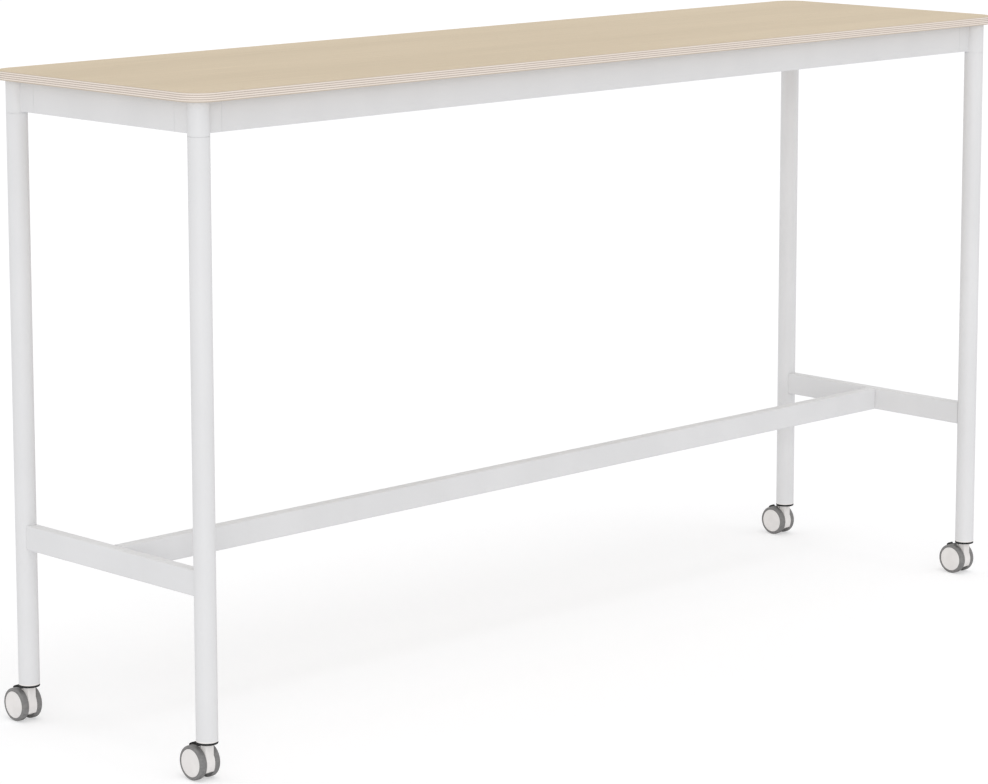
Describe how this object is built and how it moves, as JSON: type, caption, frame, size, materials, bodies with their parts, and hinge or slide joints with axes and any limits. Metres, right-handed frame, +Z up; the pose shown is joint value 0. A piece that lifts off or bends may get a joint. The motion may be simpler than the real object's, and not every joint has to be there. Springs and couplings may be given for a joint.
{
  "type": "high table",
  "caption": "Long narrow standing-height table with a plywood top, white aluminium frame, H-shaped foot rail and braked twin-wheel castors",
  "frame": {"origin": "on the floor under the middle of the top, midway between the four legs", "axes": "+Z up, +X along the table's long side to the right, +Y towards the back, the way the castors trail in the picture; the picture looks from -X -Y"},
  "size_m": [1.906, 0.5197, 1.05],
  "materials": {
    "top_veneer": "pale oak-like veneer with fine straight grain along the table, clear matt lacquer",
    "ply_edge": "sanded plywood edge with light and darker plies, clear matt lacquer",
    "underside_veneer": "plain sanded veneer",
    "white_powder_coat": "smooth satin white powder coat",
    "bare_aluminium": "sawn and machined, uncoated",
    "zinc_steel": "zinc-plated steel",
    "pale_plastic": "fine satin moulding",
    "black_plastic": "fine textured moulding",
    "grey_tyre": "soft grey tread, matt"
  },
  "bodies": {
    "frame": {"top_veneer": "top_veneer", "plywood_core": "ply_edge", "underside_veneer": "underside_veneer", "front_rail": "white_powder_coat", "back_rail": "white_powder_coat", "left_rail": "white_powder_coat", "right_rail": "white_powder_coat", "corner_casting_front_left": "white_powder_coat", "corner_casting_back_left": "white_powder_coat", "corner_casting_front_right": "white_powder_coat", "corner_casting_back_right": "white_powder_coat", "leg_front_left": "white_powder_coat", "leg_back_left": "white_powder_coat", "leg_front_right": "white_powder_coat", "leg_back_right": "white_powder_coat", "left_foot_bar": "white_powder_coat", "right_foot_bar": "white_powder_coat", "long_foot_bar": "white_powder_coat", "foot_bar_spigots": "bare_aluminium", "foot_bar_grub_screws": "zinc_steel", "leg_bolts": "zinc_steel", "leg_plugs": "bare_aluminium", "rail_screws": "zinc_steel", "top_brackets": "zinc_steel", "bracket_screws": "zinc_steel", "top_screws": "zinc_steel", "castor_sockets": "pale_plastic", "swivel_rings": "black_plastic", "castor_stems": "zinc_steel"},
    "front_left_castor_swivel": {"front_left_castor_hood": "pale_plastic", "front_left_castor_axle": "zinc_steel"},
    "front_left_castor_left_wheel": {"front_left_castor_left_rim": "pale_plastic", "front_left_castor_left_tyre": "grey_tyre"},
    "front_left_castor_right_wheel": {"front_left_castor_right_rim": "pale_plastic", "front_left_castor_right_tyre": "grey_tyre"},
    "front_left_brake_pedal": {"front_left_brake_pedal": "black_plastic"},
    "back_left_castor_swivel": {"back_left_castor_hood": "pale_plastic", "back_left_castor_axle": "zinc_steel"},
    "back_left_castor_left_wheel": {"back_left_castor_left_rim": "pale_plastic", "back_left_castor_left_tyre": "grey_tyre"},
    "back_left_castor_right_wheel": {"back_left_castor_right_rim": "pale_plastic", "back_left_castor_right_tyre": "grey_tyre"},
    "back_left_brake_pedal": {"back_left_brake_pedal": "black_plastic"},
    "front_right_castor_swivel": {"front_right_castor_hood": "pale_plastic", "front_right_castor_axle": "zinc_steel"},
    "front_right_castor_left_wheel": {"front_right_castor_left_rim": "pale_plastic", "front_right_castor_left_tyre": "grey_tyre"},
    "front_right_castor_right_wheel": {"front_right_castor_right_rim": "pale_plastic", "front_right_castor_right_tyre": "grey_tyre"},
    "front_right_brake_pedal": {"front_right_brake_pedal": "black_plastic"},
    "back_right_castor_swivel": {"back_right_castor_hood": "pale_plastic", "back_right_castor_axle": "zinc_steel"},
    "back_right_castor_left_wheel": {"back_right_castor_left_rim": "pale_plastic", "back_right_castor_left_tyre": "grey_tyre"},
    "back_right_castor_right_wheel": {"back_right_castor_right_rim": "pale_plastic", "back_right_castor_right_tyre": "grey_tyre"},
    "back_right_brake_pedal": {"back_right_brake_pedal": "black_plastic"}
  },
  "joints": [
    {"name": "front_left_castor_swivel_joint", "type": "hinge", "parent": "frame", "child": "front_left_castor_swivel", "pos_m": [-0.922, -0.222, 0.0583], "axis": [0, 0, 1], "continuous": true},
    {"name": "front_left_castor_left_wheel_joint", "type": "hinge", "parent": "front_left_castor_swivel", "child": "front_left_castor_left_wheel", "pos_m": [-0.9356, -0.2043, 0.027], "axis": [1, 0, 0], "continuous": true},
    {"name": "front_left_castor_right_wheel_joint", "type": "hinge", "parent": "front_left_castor_swivel", "child": "front_left_castor_right_wheel", "pos_m": [-0.9084, -0.2043, 0.027], "axis": [1, 0, 0], "continuous": true},
    {"name": "front_left_brake_pedal_joint", "type": "hinge", "parent": "front_left_castor_swivel", "child": "front_left_brake_pedal", "pos_m": [-0.922, -0.2, 0.0465], "axis": [-1, 0, 0], "range_deg": [0, 14]},
    {"name": "back_left_castor_swivel_joint", "type": "hinge", "parent": "frame", "child": "back_left_castor_swivel", "pos_m": [-0.922, 0.222, 0.0583], "axis": [0, 0, 1], "continuous": true},
    {"name": "back_left_castor_left_wheel_joint", "type": "hinge", "parent": "back_left_castor_swivel", "child": "back_left_castor_left_wheel", "pos_m": [-0.9356, 0.2397, 0.027], "axis": [1, 0, 0], "continuous": true},
    {"name": "back_left_castor_right_wheel_joint", "type": "hinge", "parent": "back_left_castor_swivel", "child": "back_left_castor_right_wheel", "pos_m": [-0.9084, 0.2397, 0.027], "axis": [1, 0, 0], "continuous": true},
    {"name": "back_left_brake_pedal_joint", "type": "hinge", "parent": "back_left_castor_swivel", "child": "back_left_brake_pedal", "pos_m": [-0.922, 0.244, 0.0465], "axis": [-1, 0, 0], "range_deg": [0, 14]},
    {"name": "front_right_castor_swivel_joint", "type": "hinge", "parent": "frame", "child": "front_right_castor_swivel", "pos_m": [0.922, -0.222, 0.0583], "axis": [0, 0, 1], "continuous": true},
    {"name": "front_right_castor_left_wheel_joint", "type": "hinge", "parent": "front_right_castor_swivel", "child": "front_right_castor_left_wheel", "pos_m": [0.9084, -0.2043, 0.027], "axis": [1, 0, 0], "continuous": true},
    {"name": "front_right_castor_right_wheel_joint", "type": "hinge", "parent": "front_right_castor_swivel", "child": "front_right_castor_right_wheel", "pos_m": [0.9356, -0.2043, 0.027], "axis": [1, 0, 0], "continuous": true},
    {"name": "front_right_brake_pedal_joint", "type": "hinge", "parent": "front_right_castor_swivel", "child": "front_right_brake_pedal", "pos_m": [0.922, -0.2, 0.0465], "axis": [-1, 0, 0], "range_deg": [0, 14]},
    {"name": "back_right_castor_swivel_joint", "type": "hinge", "parent": "frame", "child": "back_right_castor_swivel", "pos_m": [0.922, 0.222, 0.0583], "axis": [0, 0, 1], "continuous": true},
    {"name": "back_right_castor_left_wheel_joint", "type": "hinge", "parent": "back_right_castor_swivel", "child": "back_right_castor_left_wheel", "pos_m": [0.9084, 0.2397, 0.027], "axis": [1, 0, 0], "continuous": true},
    {"name": "back_right_castor_right_wheel_joint", "type": "hinge", "parent": "back_right_castor_swivel", "child": "back_right_castor_right_wheel", "pos_m": [0.9356, 0.2397, 0.027], "axis": [1, 0, 0], "continuous": true},
    {"name": "back_right_brake_pedal_joint", "type": "hinge", "parent": "back_right_castor_swivel", "child": "back_right_brake_pedal", "pos_m": [0.922, 0.244, 0.0465], "axis": [-1, 0, 0], "range_deg": [0, 14]}
  ]
}
